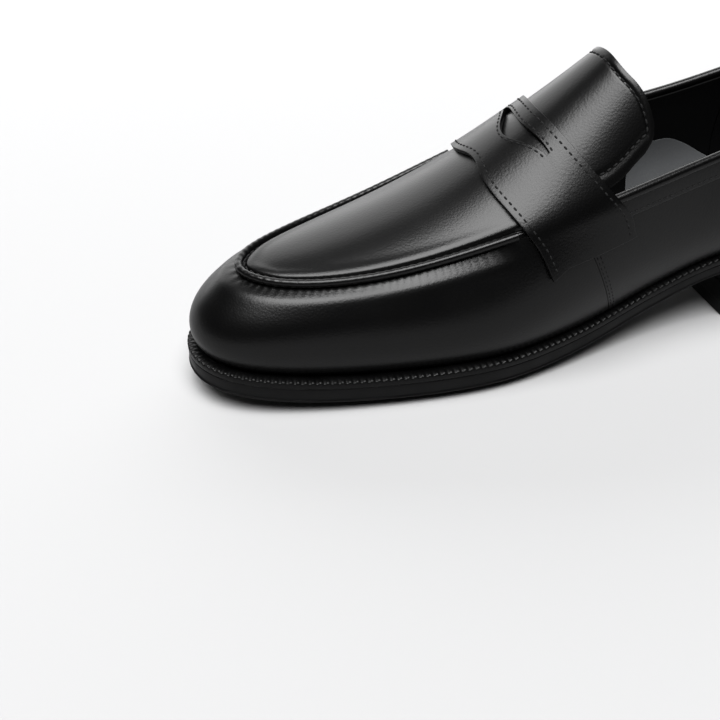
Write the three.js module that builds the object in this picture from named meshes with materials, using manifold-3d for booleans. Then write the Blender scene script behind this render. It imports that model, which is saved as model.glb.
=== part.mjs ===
// A men's penny loafer for the right foot, about EU 43, built piece by piece as a welted slip-on is.
// Millimetres, +Z up, the toe points to -X and the inner (medial) side faces -Y.
// Every leather piece is a sheet cut from one of two surfaces of the last: the wall, which stands round the
// foot
// from the welt to the rim, and the top, which arches over the instep between the two sides of the rim.
import * as THREE from "three";
import { mergeVertices } from "three/addons/utils/BufferGeometryUtils.js";
import Module from "manifold-3d";

const wasm = await Module();
wasm.setup();

// ---------- driving dimensions ----------
const LEATHER = 1.6; // upper leather
const LINING = 0.9; // lining leather
const STIFFENER = 0.9; // toe puff and heel counter
const GAP = 0.3; // clearance between pieces that touch
const STRAP = 1.8; // saddle strap, two layers
const BEAD_RADIUS = 1.6; // rolled edge of the apron
const BINDING_RADIUS = 1.5; // rolled edge of the topline
const THREAD_RADIUS = 0.45;
const WELT_THICKNESS = 3.2;
const WELT_WIDTH = 15;
const HEEL_BREAST_X = 78;
const TOP_PIECE_HEIGHT = 6;
const LIFT_HEIGHT = 9.5;
const GROUND = -3.5; // height of the ground below the last's own zero
const LAYER_2 = LEATHER + GAP + 0.1; // depth of the stiffeners below the outer face
const LAYER_3 = LAYER_2 + STIFFENER + GAP + 0.1; // depth of the lining

// Control points of the sole's outline, from the heel's back round the outer side, the toe and the inner
// side.
const SOLE_OUTLINE = [
  [153, 0], [148, 24], [122, 35], [85, 33], [45, 34], [5, 43], [-34, 52],
  [-74, 49], [-107, 37], [-135, 24], [-153, 6.5], [-154, -15.5], [-140, -31], [-110, -40],
  [-74, -46], [-34, -50], [5, -41], [45, -32], [85, -31], [122, -34], [148, -24],
];
// Control points of the rim, one for each of the sole's: the moccasin seam in front, the topline behind.
const RIM = [
  [146, 0, 99.5], [142, 19, 98], [120, 27, 92], [86, 29, 83], [48, 31.5, 75], [10, 38, 72], [-24, 38, 60.5],
  [-64, 31, 50.5], [-96, 23, 46.5], [-119, 12, 46.5], [-130, 1, 47], [-130, -9, 47], [-119, -20, 47],
    [-97, -27.5, 47.5],
  [-66, -32, 50.5], [-26, -36, 60.5], [8, -37.5, 68.5], [48, -31, 75], [86, -28, 82.5], [120, -27, 91.5],
    [142, -19, 98],
];
// Profiles along the shoe, as [x, value] points joined by a smooth curve.
const SOLE_UNDERSIDE = [
  [-155, 6.3], [-130, 3.2], [-105, 1.2], [-80, 0.2], [-50, 0], [-20, 0.6],
  [10, 4], [40, 12], [65, 19], [85, 22.5], [110, 24], [155, 25],
];
// How far the sole's underside bulges down in the middle: its edges stand clear of the ground.
const SOLE_CROWN = [[-155, 0], [-145, 1.6], [-125, 3], [-80, 3.3], [-20, 3.3], [30, 2.5], [70, 0]];
const SOLE_THICKNESS = [[-155, 9.8], [0, 9.8], [60, 8.5], [155, 8.5]];
const FEATHER_INSET = [[-155, 4.8], [-60, 4.8], [0, 3.5], [60, 2.8], [155, 3]];
const CREST = [[-129, 47], [-115, 50], [-95, 53], [-75, 57], [-55, 63], [-35, 72.5], [-15, 85.5], [5, 100],
  [28, 118], [40, 127]];
const FOOT_BULGE = [[-155, 11], [-100, 9], [-40, 9], [20, 9], [80, 10], [120, 8], [155, 7]];
const RIM_BULGE = [[-155, 9.5], [-100, 8], [-40, 5], [20, 3], [80, 3], [155, 3.5]];
const FOOT_PULL = [[-155, 0.42], [-60, 0.4], [20, 0.38], [155, 0.36]];
const RIM_PULL = [[-155, 0.12], [-100, 0.14], [-60, 0.22], [-10, 0.3], [20, 0.34], [155, 0.3]];
// The strap's edges as [across, x]: across is 0 on the crest, 1 at the rim and 2 at the strap's sewn end.
const bothSides = (points) => [...points.slice(1).reverse().map(([across, x]) => [-across, x]), ...points];
const STRAP_FRONT = bothSides([[0, -29.8], [0.15, -31.2], [0.35, -32.8], [0.5, -32.2], [0.7, -29.8],
  [1, -24.6], [2, -13]]);
const STRAP_BACK = bothSides([[0, -5.2], [0.4, -2.8], [0.72, 2.4], [1, 12], [2, 22]]);
const STRAP_END = [0.56, 0.68]; // how far up the wall the sewn end lies, at its front and back corner
const SLOT_HALF = 0.54; // the slot's half length, across
const SLOT_TIP_X = -7.5;
const SLOT_BACK_X = -12.6;
const SLOT_FRONT_X = -20.8;
// The tongue's half width across at x, and its free edge as [across, x].
const TONGUE_HALF = [[5, 0.93], [11.5, 0.93], [17.5, 0.91], [22.5, 0.88], [26.5, 0.86]];
const TONGUE_EDGE = bothSides([
  [0, 22.3], [0.36, 24.3], [0.49, 26.8], [0.61, 29.2], [0.7, 30.5], [0.77, 31], [0.83, 29.5], [0.86, 26.5],
]);
const TONGUE_TUCK = 2; // how far the tongue reaches under the strap
const APRON_TUCK = 5; // how far in front of the strap's back edge the apron ends
const SIDE_SEAM_TOP_X = 2;
// how far along u the side seam leans towards the heel from the rim to the welt
const SIDE_SEAM_SLANT = 0.036;

// ---------- curves ----------
// Smooth curve through [x, value] points, held flat past its ends.
function along(points, x) {
  const last = points.length - 1;
  const clamped = Math.min(Math.max(x, points[0][0]), points[last][0]);
  let k = 0;
  while (k < last - 1 && clamped >= points[k + 1][0]) k++;
  const step = (i) => points[i + 1][0] - points[i][0];
  const rise = (i) => (points[i + 1][1] - points[i][1]) / step(i);
  const slope = (i) => {
    if (i === 0) return rise(0);
    if (i === last) return rise(last - 1);
    return (rise(i - 1) * step(i) + rise(i) * step(i - 1)) / (step(i) + step(i - 1));
  };
  const t = (clamped - points[k][0]) / step(k);
  const h = step(k);
  return (
    (2 * t ** 3 - 3 * t ** 2 + 1) * points[k][1] +
    (t ** 3 - 2 * t ** 2 + t) * h * slope(k) +
    (3 * t ** 2 - 2 * t ** 3) * points[k + 1][1] +
    (t ** 3 - t ** 2) * h * slope(k + 1)
  );
}

// Closed uniform cubic B-spline, with u running from 0 to 1 once round.
function closedSpline(control, u) {
  const m = control.length;
  const t = (((u % 1) + 1) % 1) * m;
  const i = Math.floor(t);
  const f = t - i;
  const weights = [
    (1 - f) ** 3 / 6,
    (3 * f ** 3 - 6 * f ** 2 + 4) / 6,
    (-3 * f ** 3 + 3 * f ** 2 + 3 * f + 1) / 6,
    f ** 3 / 6,
  ];
  return control[0].map((_, axis) =>
    weights.reduce((sum, w, k) => sum + w * control[(i + k - 1 + m) % m][axis], 0),
  );
}

const underside = (x) => along(SOLE_UNDERSIDE, x);
const weltTop = (x) => underside(x) + along(SOLE_THICKNESS, x);

// Outward unit normal of the sole's outline, in plan.
function outward(u) {
  const step = 0.001;
  const [ax, ay] = closedSpline(SOLE_OUTLINE, u - step);
  const [bx, by] = closedSpline(SOLE_OUTLINE, u + step);
  const length = Math.hypot(bx - ax, by - ay);
  return [(by - ay) / length, (ax - bx) / length];
}

// A point of the sole's outline, moved inwards in plan.
function insetOutline(u, inset) {
  const [x, y] = closedSpline(SOLE_OUTLINE, u);
  const [nx, ny] = outward(u);
  return [x - nx * inset, y - ny * inset];
}

function featherPoint(u) {
  const [x, y] = insetOutline(u, along(FEATHER_INSET, closedSpline(SOLE_OUTLINE, u)[0]));
  return new THREE.Vector3(x, y, weltTop(x) + GAP);
}

const rimPoint = (u) => new THREE.Vector3(...closedSpline(RIM, u));

// The wall surface: u runs round the shoe, v from the welt (0) to the rim (1).
function wall(u, v) {
  const foot = featherPoint(u);
  const rim = rimPoint(u);
  const height = rim.z - foot.z;
  const [nx, ny] = outward(u);
  const out = new THREE.Vector3(nx, ny, 0);
  const lower = foot.clone().addScaledVector(out, along(FOOT_BULGE, foot.x));
  lower.z += height * along(FOOT_PULL, foot.x);
  const upper = rim.clone().addScaledVector(out, along(RIM_BULGE, foot.x));
  upper.z -= height * along(RIM_PULL, foot.x);
  return new THREE.CubicBezierCurve3(foot, lower, upper, rim).getPoint(v);
}

// Where along u the rim crosses a given x, on each side of the toe.
const RIM_SAMPLES = 2000;
const rimTable = Array.from({ length: RIM_SAMPLES + 1 }, (_, i) => closedSpline(RIM, i / RIM_SAMPLES)[0]);
const tipIndex = rimTable.indexOf(Math.min(...rimTable));
function rimAt(x, side) {
  let near = side > 0 ? 0 : tipIndex;
  let far = side > 0 ? tipIndex : RIM_SAMPLES;
  while (far - near > 1) {
    const middle = (near + far) >> 1;
    const before = side > 0 ? rimTable[middle] > x : rimTable[middle] < x;
    if (before) near = middle;
    else far = middle;
  }
  const share = (x - rimTable[near]) / (rimTable[far] - rimTable[near]);
  return (near + THREE.MathUtils.clamp(share, 0, 1)) / RIM_SAMPLES;
}
const TIP_X = rimTable[tipIndex];

// The top surface: x along the shoe, j across it from the inner rim (-1) to the outer (1).
function top(x, j) {
  const outer = rimPoint(rimAt(x, 1));
  const inner = rimPoint(rimAt(x, -1));
  const share = (j + 1) / 2;
  const rimZ = THREE.MathUtils.lerp(inner.z, outer.z, share);
  const arch = along(CREST, x) - (inner.z + outer.z) / 2;
  return new THREE.Vector3(
    x,
    THREE.MathUtils.lerp(inner.y, outer.y, share),
    rimZ + arch * (1 - Math.abs(j) ** 2.1),
  );
}

// ---------- solids ----------
// Outward unit normal of a surface at (a, b), by finite differences.
function normalAt(surface, a, b, facing) {
  const step = 0.004;
  const alongA = surface(a + step, b).sub(surface(a - step, b));
  const alongB = surface(a, b + step).sub(surface(a, b - step));
  return alongA.cross(alongB).normalize().multiplyScalar(facing);
}

// A closed solid between an outer and an inner grid of points; wrap joins the last row to the first.
function slab(outer, inner, wrap = false) {
  const rows = outer.length;
  const columns = outer[0].length;
  const points = [...outer.flat(), ...inner.flat()];
  const positions = new Float32Array(points.flatMap((p) => [p.x, p.y, p.z]));
  const outerAt = (i, j) => (i % rows) * columns + j;
  const innerAt = (i, j) => rows * columns + outerAt(i, j);
  const index = [];
  const quad = (a, b, c, d) => index.push(a, b, c, a, c, d);
  const lastRow = wrap ? rows : rows - 1;
  for (let i = 0; i < lastRow; i++) {
    for (let j = 0; j < columns - 1; j++) {
      quad(outerAt(i, j), outerAt(i + 1, j), outerAt(i + 1, j + 1), outerAt(i, j + 1));
      quad(innerAt(i, j), innerAt(i, j + 1), innerAt(i + 1, j + 1), innerAt(i + 1, j));
    }
    const last = columns - 1;
    quad(outerAt(i, 0), innerAt(i, 0), innerAt(i + 1, 0), outerAt(i + 1, 0));
    quad(outerAt(i, last), outerAt(i + 1, last), innerAt(i + 1, last), innerAt(i, last));
  }
  if (!wrap) {
    const end = rows - 1;
    for (let j = 0; j < columns - 1; j++) {
      quad(outerAt(0, j), outerAt(0, j + 1), innerAt(0, j + 1), innerAt(0, j));
      quad(outerAt(end, j), innerAt(end, j), innerAt(end, j + 1), outerAt(end, j + 1));
    }
  }
  return facingOut(positions, index);
}

// Merges points that coincide, drops faces that collapsed, and turns the solid right side out.
function facingOut(positions, index) {
  const geometry = new THREE.BufferGeometry();
  geometry.setAttribute("position", new THREE.BufferAttribute(positions, 3));
  geometry.setIndex(index);
  const merged = mergeVertices(geometry, 0.001);
  const faces = [];
  let volume = 0;
  const corner = (i) => new THREE.Vector3().fromBufferAttribute(merged.attributes.position, i);
  for (let i = 0; i < index.length; i += 3) {
    const [a, b, c] = [0, 1, 2].map((k) => merged.index.getX(i + k));
    if (a === b || b === c || a === c) continue;
    faces.push([a, b, c]);
    volume += corner(a).dot(corner(b).cross(corner(c)));
  }
  merged.setIndex(faces.flatMap(([a, b, c]) => (volume < 0 ? [a, c, b] : [a, b, c])));
  return merged;
}

const stations = (from, to, count) =>
  Array.from({ length: count + 1 }, (_, i) => from + ((to - from) * i) / count);

// A sheet cut from the wall: outer face at depth, thickness inwards. Negative depth lies outside the wall.
function wallSheet(us, vAt, rows, depth, thickness, surface = wall) {
  const grid = (d) =>
    us.map((u) =>
      stations(vAt(u)[0], vAt(u)[1], rows).map((v) =>
        surface(u, v).addScaledVector(normalAt(surface, u, v, 1), -d),
      ),
    );
  return slab(grid(depth), grid(depth + thickness));
}

// A sheet cut from the top surface between two edges xFrom(j) and xTo(j).
function topSheet(js, xFrom, xTo, rows, depth, thickness) {
  const grid = (d) =>
    js.map((j) =>
      stations(xFrom(j), xTo(j), rows).map((x) =>
        top(x, j).addScaledVector(normalAt(top, x, j, 1), -d),
      ),
    );
  return slab(grid(depth), grid(depth + thickness));
}

// A plate inside the sole's outline, inset by inset(x), from xFrom to xTo, between two surfaces low(x, s) and
// high(x, s), where s runs across from 0 to 1.
function plate(inset, xFrom, xTo, rows, low, high, across = [0, 1 / 3, 2 / 3, 1]) {
  const samples = 800;
  const outline = Array.from({ length: samples }, (_, i) =>
    insetOutline(i / samples, inset(closedSpline(SOLE_OUTLINE, i / samples)[0])),
  );
  const heel = Math.max(...outline.map((p) => p[0]));
  const toe = Math.min(...outline.map((p) => p[0]));
  const start = Math.max(xFrom, toe);
  const end = Math.min(xTo, heel);
  const crossing = (x, side) => {
    let best = [];
    for (let i = 0; i < samples; i++) {
      const a = outline[i];
      const b = outline[(i + 1) % samples];
      if (a[0] === b[0] || (a[0] - x) * (b[0] - x) > 0) continue;
      best.push(a[1] + ((b[1] - a[1]) * (x - a[0])) / (b[0] - a[0]));
    }
    if (!best.length) best = [outline.find((p) => p[0] === (x < 0 ? toe : heel))[1]];
    return side > 0 ? Math.max(...best) : Math.min(...best);
  };
  const grids = [high, low].map((height) =>
    stations(0, 1, rows).map((t) => {
      const rounded = (1 - Math.cos(Math.PI * t)) / 2; // closer rows near both ends
      const x = THREE.MathUtils.lerp(start, end, rounded);
      return across.map(
        (s) =>
          new THREE.Vector3(x, THREE.MathUtils.lerp(crossing(x, -1), crossing(x, 1), s), height(x, s)),
      );
    }),
  );
  return slab(grids[0], grids[1]);
}

// A tube of round section along a list of points.
function tube(points, radius, sides, closed = false) {
  const path = new THREE.CatmullRomCurve3(points, closed, "centripetal");
  const circle = new THREE.Shape();
  for (let i = 0; i < sides; i++) {
    const angle = (2 * Math.PI * i) / sides;
    const [x, y] = [radius * Math.cos(angle), radius * Math.sin(angle)];
    if (i === 0) circle.moveTo(x, y);
    else circle.lineTo(x, y);
  }
  circle.closePath();
  return new THREE.ExtrudeGeometry(circle,
    { steps: points.length - 1, extrudePath: path, bevelEnabled: false });
}

function solidOf(geometry) {
  const bare = geometry.clone();
  bare.deleteAttribute("normal");
  bare.deleteAttribute("uv");
  const merged = mergeVertices(bare, 0.001);
  return new wasm.Manifold(
    new wasm.Mesh({
      numProp: 3,
      vertProperties: merged.attributes.position.array,
      triVerts: new Uint32Array(merged.index.array),
    }),
  );
}

function geometryOf(solid) {
  const mesh = solid.getMesh();
  const geometry = new THREE.BufferGeometry();
  geometry.setAttribute("position", new THREE.BufferAttribute(mesh.vertProperties, 3));
  geometry.setIndex(new THREE.BufferAttribute(mesh.triVerts, 1));
  return geometry;
}

// ---------- materials ----------
const material = (color, roughness, metalness = 0) =>
  new THREE.MeshStandardMaterial({ color, roughness, metalness });
const calf = material(0x111112, 0.35);
const liningLeather = material(0x0c0c0d, 0.6);
const sockLeather = material(0x2a2a2c, 0.55);
const soleRubber = material(0x17181a, 0.6);
const weltLeather = material(0x101011, 0.5);
const board = material(0xb98d5c, 0.9);
const cork = material(0x8a6238, 0.95);
const felt = material(0x8f8c86, 0.95);
const foam = material(0x303033, 0.95);
const steel = material(0x9a9da1, 0.35, 1);
const waxedThread = material(0x0b0b0c, 0.7);

const shoe = new THREE.Group();
function add(name, geometry, finish) {
  const mesh = new THREE.Mesh(geometry, finish);
  mesh.name = name;
  shoe.add(mesh);
}

// ---------- sole unit ----------
const rubberTop = (x) => weltTop(x) - WELT_THICKNESS - GAP;
const insoleLow = (x) => weltTop(x) + GAP;
const insoleHigh = (x) => weltTop(x) + 2.8;
const SOLE_ROWS = 30;
const ALL_ALONG = 1000; // past both ends of the shoe
const insoleInset = (x) => along(FEATHER_INSET, x) + LAYER_3 + LINING + 0.6;
const always = (value) => () => value;

// Nails driven from the insole through the sole into the heel, on a horseshoe inside the heel seat.
const NAIL_RADIUS = 1.1;
const NAIL_HEAD_RADIUS = 2.1;
const NAIL_HEAD_HEIGHT = 0.9;
const NAIL_POINT_Z = 9;
const nails = [[94, 14], [94, -14], [114, 15.5], [114, -15.5], [130, 0]]
  .map(([x, y]) => ({ x, y, head: insoleHigh(x) - 0.2 }));

function nailProfile(nail, radius, headRadius, headHeight, low) {
  const high = nail.head;
  return [[0, low], [radius, low + radius], [radius, high - headHeight], [headRadius, high - headHeight],
    [headRadius, high], [0, high]]
    .map(([r, z]) => new THREE.Vector2(r, z));
}
function nailGeometry(nail) {
  const profile = nailProfile(nail, NAIL_RADIUS, NAIL_HEAD_RADIUS, NAIL_HEAD_HEIGHT, NAIL_POINT_Z);
  return new THREE.LatheGeometry(profile, 10).rotateX(Math.PI / 2).translate(nail.x, nail.y, 0);
}
// The hole is a little larger than its nail all round, and open at the top.
function nailHole(nail) {
  const high = nail.head + 4;
  const seat = nail.head - NAIL_HEAD_HEIGHT - GAP;
  const shaft = NAIL_RADIUS + GAP;
  const head = NAIL_HEAD_RADIUS + GAP;
  const low = NAIL_POINT_Z - 2 * GAP;
  const profile = [[0, low], [shaft, low], [shaft, seat], [head, seat], [head, high], [0, high]]
    .map(([r, z]) => new THREE.Vector2(r, z));
  return solidOf(new THREE.LatheGeometry(profile, 10).rotateX(Math.PI / 2).translate(nail.x, nail.y, 0));
}
const nailHoles = nails.map(nailHole).reduce((all, hole) => all.add(hole));
const drilled = (geometry) => geometryOf(solidOf(geometry).subtract(nailHoles));

const crownedUnderside = (x, s) => underside(x) - along(SOLE_CROWN, x) * (1 - Math.abs(2 * s - 1) ** 3);
const soleColumns = [0, 0.12, 0.3, 0.5, 0.7, 0.88, 1];
const outsole = plate(always(0.5), -ALL_ALONG, ALL_ALONG, SOLE_ROWS, crownedUnderside, rubberTop,
  soleColumns);
add("outsole", drilled(outsole), soleRubber);

const HEEL_ROWS = 10;
const topPieceHigh = always(GROUND + TOP_PIECE_HEIGHT);
const lowerLiftLow = always(GROUND + TOP_PIECE_HEIGHT + GAP);
const lowerLiftHigh = always(GROUND + TOP_PIECE_HEIGHT + LIFT_HEIGHT);
const upperLiftLow = always(GROUND + TOP_PIECE_HEIGHT + LIFT_HEIGHT + GAP);
const upperLiftHigh = (x) => underside(x) - GAP;
add("heel_top_piece", plate(always(2), HEEL_BREAST_X + 1, ALL_ALONG, HEEL_ROWS, always(GROUND),
  topPieceHigh), soleRubber);
add("heel_lift_lower", drilled(plate(always(1.6), HEEL_BREAST_X, ALL_ALONG, HEEL_ROWS, lowerLiftLow,
  lowerLiftHigh)), weltLeather);
add("heel_lift_upper", drilled(plate(always(1.1), HEEL_BREAST_X, ALL_ALONG, HEEL_ROWS, upperLiftLow,
  upperLiftHigh)), weltLeather);
nails.forEach((nail, i) => add(`heel_nail_${i + 1}`, nailGeometry(nail), steel));

const WELT_STEPS = 56;
const weltGrid = (height) =>
  stations(0, 1, WELT_STEPS).slice(0, -1).map((u) =>
    [WELT_WIDTH, 0].map((inset) => {
      const [x, y] = insetOutline(u, inset);
      return new THREE.Vector3(x, y, height(x));
    }),
  );
add("welt", slab(weltGrid(weltTop), weltGrid((x) => weltTop(x) - WELT_THICKNESS), true), weltLeather);

const fillerInset = always(WELT_WIDTH + 1.5);
const fillerLow = (x) => rubberTop(x) + GAP;
const fillerHigh = (x) => weltTop(x);
add("cork_filler", plate(fillerInset, -ALL_ALONG, 4, 12, fillerLow, fillerHigh), cork);

const SHANK_FROM = 10;
const SHANK_TO = 88;
const SHANK_HALF_WIDTH = 7;
const shankGrid = (height) =>
  stations(SHANK_FROM, SHANK_TO, 12).map((x) =>
    [-SHANK_HALF_WIDTH, SHANK_HALF_WIDTH].map((y) => new THREE.Vector3(x, y + 1, height(x))),
  );
add("shank", slab(shankGrid((x) => fillerLow(x) + 1.3), shankGrid(fillerLow)), steel);

add("insole_board", drilled(plate(insoleInset, -ALL_ALONG, ALL_ALONG, 22, insoleLow, insoleHigh)), board);

// ---------- inside the shoe ----------
const PAD_HEIGHT = 2.3;
const PAD_FROM = 72;
const sockLow = (x) => insoleHigh(x) + GAP + (PAD_HEIGHT + GAP)
  * THREE.MathUtils.smoothstep(x, PAD_FROM - 25, PAD_FROM - 2);
add("heel_pad", plate((x) => insoleInset(x) + 1.5, PAD_FROM, ALL_ALONG, 8, (x) => insoleHigh(x) + GAP,
  (x) => insoleHigh(x) + GAP + PAD_HEIGHT), foam);
add("sock_liner", plate(insoleInset, -ALL_ALONG, ALL_ALONG, 26, sockLow, (x) => sockLow(x) + 1.4),
  sockLeather);

// ---------- upper ----------
const RIM_MARGIN = 0.965; // sheets of the wall stop short of the rim, under the bead
const sideSeam = { outer: rimAt(SIDE_SEAM_TOP_X, 1), inner: rimAt(SIDE_SEAM_TOP_X, -1) };
const SEAM_GAP = 0.0002; // half the gap at a seam, along u
// The wall with its lines of constant u leaning near the side seams, as the seams do.
const SEAM_REACH = 0.12; // how far along u the leaning spreads
const SEAM_UPRIGHT_V = 0.72; // where the leaning seam crosses the upright one
function leaningWall(u, v) {
  const near = (seam) => Math.max(0, 1 - Math.abs(u - seam) / SEAM_REACH);
  return wall(u + SIDE_SEAM_SLANT * (SEAM_UPRIGHT_V - v) * (near(sideSeam.inner) - near(sideSeam.outer)), v);
}
const toeOf = (steps, extra = 0) => stations(sideSeam.outer + SEAM_GAP + extra,
  sideSeam.inner - SEAM_GAP - extra, steps);
const outerBack = (steps, extra = 0) => stations(SEAM_GAP + extra, sideSeam.outer - SEAM_GAP - extra, steps);
const innerBack = (steps, extra = 0) => stations(sideSeam.inner + SEAM_GAP + extra, 1 - SEAM_GAP - extra,
  steps);
const fullHeight = () => [0, RIM_MARGIN];

add("vamp_skirt", wallSheet(toeOf(38), fullHeight, 7, 0, LEATHER, leaningWall), calf);
add("lateral_quarter", wallSheet(outerBack(17), fullHeight, 7, 0, LEATHER, leaningWall), calf);
add("medial_quarter", wallSheet(innerBack(17), fullHeight, 7, 0, LEATHER, leaningWall), calf);

// The lining: black leather in the forepart, a grey panel low on each side, a black facing above each
// panel, and a
// heel grip that goes round the back from one panel to the other.
const PANEL_FROM_X = 61;
const PANEL_TO_X = 100;
// height on the wall at x
const PANEL_TOP = [[61, 0.52], [69, 0.5], [78, 0.47], [87, 0.35], [97, 0.19], [100, 0.15]];
const LINING_SEAM = 0.004; // gap between a panel and its facing, as a share of the wall
const panelFrom = (side) => rimAt(PANEL_FROM_X, side);
const panelTo = (side) => rimAt(PANEL_TO_X, side);
const liningSheet = (from, to, steps, heightAt, rows) =>
  wallSheet(stations(from + SEAM_GAP, to - SEAM_GAP, steps), heightAt, rows, LAYER_3, LINING);
const forepartHeight = (u) => [0.03, rimPoint(u).x > 0 ? RIM_MARGIN : 0.93];
const panelHeight = (u) => [0.02, along(PANEL_TOP, rimPoint(u).x)];
const facingHeight = (u) => [along(PANEL_TOP, rimPoint(u).x) + LINING_SEAM, RIM_MARGIN];
const gripHeight = () => [0.02, RIM_MARGIN];
add("vamp_lining", liningSheet(panelFrom(1), panelFrom(-1), 46, forepartHeight, 6), liningLeather);
add("lateral_quarter_lining", liningSheet(panelTo(1), panelFrom(1), 8, panelHeight, 4), sockLeather);
add("medial_quarter_lining", liningSheet(panelFrom(-1), panelTo(-1), 8, panelHeight, 4), sockLeather);
add("lateral_collar_facing", liningSheet(panelTo(1), panelFrom(1), 8, facingHeight, 4), liningLeather);
add("medial_collar_facing", liningSheet(panelFrom(-1), panelTo(-1), 8, facingHeight, 4), liningLeather);
add("heel_grip", liningSheet(panelTo(-1), 1 + panelTo(1), 16, gripHeight, 6), liningLeather);

const TOE_PUFF_HALF = 0.13; // along u, each side of the toe
const COUNTER_HALF = 0.11; // along u, each side of the heel
const toeU = tipIndex / RIM_SAMPLES;
add("toe_puff", wallSheet(stations(toeU - TOE_PUFF_HALF, toeU + TOE_PUFF_HALF, 20), () => [0.03, 0.9], 5,
  LAYER_2, STIFFENER), felt);
add("heel_counter", wallSheet(stations(-COUNTER_HALF, COUNTER_HALF, 18), () => [0.03, 0.62], 4, LAYER_2,
  STIFFENER), felt);

// Collar bands and the backstay lie on the quarters' outer face.
const BAND = 0.8;
const bandHeight = () => [0.79, RIM_MARGIN];
const BINDING_FROM_X = 14; // where the binding comes out from under the strap
const BAND_FROM_X = 26; // where the collar bands come out from under the strap
const BACKSTAY_HALF = 0.011;
const bandFrom = (side) => rimAt(BAND_FROM_X, side);
const bindingFrom = (side) => rimAt(BINDING_FROM_X, side);
add("lateral_collar_band", wallSheet(stations(BACKSTAY_HALF + 2 * SEAM_GAP, bandFrom(1), 16), bandHeight, 2,
  -BAND - GAP, BAND), calf);
add("medial_collar_band", wallSheet(stations(bandFrom(-1), 1 - BACKSTAY_HALF - 2 * SEAM_GAP, 16), bandHeight,
  2, -BAND - GAP, BAND), calf);
add("backstay", wallSheet(stations(-BACKSTAY_HALF, BACKSTAY_HALF, 2), () => [0.04, RIM_MARGIN], 7,
  -BAND - GAP, BAND), calf);

// The topline's rolled binding, from strap to strap round the heel.
const bindingPoints = stations(bindingFrom(-1), 1 + bindingFrom(1), 60).map((u) => {
  const [nx, ny] = outward(u);
  return rimPoint(u).add(new THREE.Vector3(-nx, -ny, 0.3));
});
add("topline_binding", tube(bindingPoints, BINDING_RADIUS, 8), calf);

// ---------- apron, tongue and strap ----------
const strapFront = (q) => along(STRAP_FRONT, q);
const strapBack = (q) => along(STRAP_BACK, q);
const APRON_EDGE = 0.955; // across, where the apron's sheet stops beside the bead

// Rows of the apron run across, closer together near its round tip.
function apronSheet(depth, thickness, edge) {
  const rows = 22;
  const first = TIP_X + 1.2 + depth;
  const grid = (d) =>
    stations(0, 1, rows).map((t) =>
      stations(-edge, edge, 10).map((j) => {
        const end = strapBack(j) - APRON_TUCK;
        const x = THREE.MathUtils.lerp(first, end, t ** 1.6);
        return top(x, j).addScaledVector(normalAt(top, x, j, 1), -d);
      }),
    );
  return slab(grid(depth), grid(depth + thickness));
}
add("apron", apronSheet(0, LEATHER - 0.2, APRON_EDGE), calf);
add("apron_lining", apronSheet(LAYER_2 + 0.1, LINING, 0.84), liningLeather);

// The apron's rolled edge and the thread at its foot run from the strap round the toe to the strap.
const seamStations = stations(rimAt(strapFront(1) - 2.5, 1), rimAt(strapFront(1) - 2.5, -1), 64);
const beadPoints = seamStations.map((u) => rimPoint(u).add(new THREE.Vector3(0, 0, BEAD_RADIUS + 0.6)));
add("apron_bead", tube(beadPoints, BEAD_RADIUS, 8), calf);
const threadPoints = seamStations.map((u) => wall(u, 0.945).addScaledVector(normalAt(wall, u, 0.945, 1),
  THREAD_RADIUS + GAP));
add("moc_seam_thread", tube(threadPoints, THREAD_RADIUS, 5), waxedThread);

function tongueSheet(depth, thickness, trim) {
  const grid = (d) =>
    stations(0, 1, 7).map((t) =>
      stations(-1, 1, 22).map((s) => {
        const root = strapBack(s * 0.93) - TONGUE_TUCK;
        const x = THREE.MathUtils.lerp(root, along(TONGUE_EDGE, s * 0.86) - trim, t);
        const j = s * (along(TONGUE_HALF, x) - trim * 0.03);
        return top(x, j).addScaledVector(normalAt(top, x, j, 1), -d);
      }),
    );
  return slab(grid(depth), grid(depth + thickness));
}
add("tongue", tongueSheet(0, LEATHER, 0), calf);
add("tongue_lining", tongueSheet(LAYER_2 + 0.1, LINING, 0.6), liningLeather);

// The strap's surface: q runs across from one sewn end (-2) to the other (2), x is a place along the rim.
function saddle(q, x, r) {
  if (Math.abs(q) <= 1) return top(x, q);
  const end = THREE.MathUtils.lerp(STRAP_END[0], STRAP_END[1], r);
  return wall(rimAt(x, Math.sign(q)), 1 - (Math.abs(q) - 1) * (1 - end));
}
const slotShare = (q) => Math.min(Math.abs(q) / SLOT_HALF, 1);
const slotFront = (q) => THREE.MathUtils.lerp(SLOT_FRONT_X, SLOT_TIP_X, slotShare(q) ** 1.15);
const slotBack = (q) => THREE.MathUtils.lerp(SLOT_BACK_X, SLOT_TIP_X, slotShare(q) ** 1.15);

// The strap is two strips that share their points beyond the slot's tips and part along it.
function strapStrip(edgeFrom, edgeTo, rFrom, rTo, rows, depth, thickness) {
  const qs = [...stations(-2, -1, 4), ...stations(-1, -SLOT_HALF, 3).slice(1),
    ...stations(-SLOT_HALF, SLOT_HALF, 10).slice(1),
    ...stations(SLOT_HALF, 1, 3).slice(1), ...stations(1, 2, 4).slice(1)];
  const grid = (d) =>
    qs.map((q) =>
      stations(0, 1, rows).map((t) => {
        const from = edgeFrom(q);
        const to = edgeTo(q);
        const r = THREE.MathUtils.lerp(rFrom, rTo, t);
        const x = THREE.MathUtils.lerp(from, to, t);
        const surface = (a, b) => saddle(a, b, r);
        return saddle(q, x, r).addScaledVector(strapNormal(surface, q, x), -d);
      }),
    );
  return slab(grid(depth), grid(depth + thickness));
}
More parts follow.
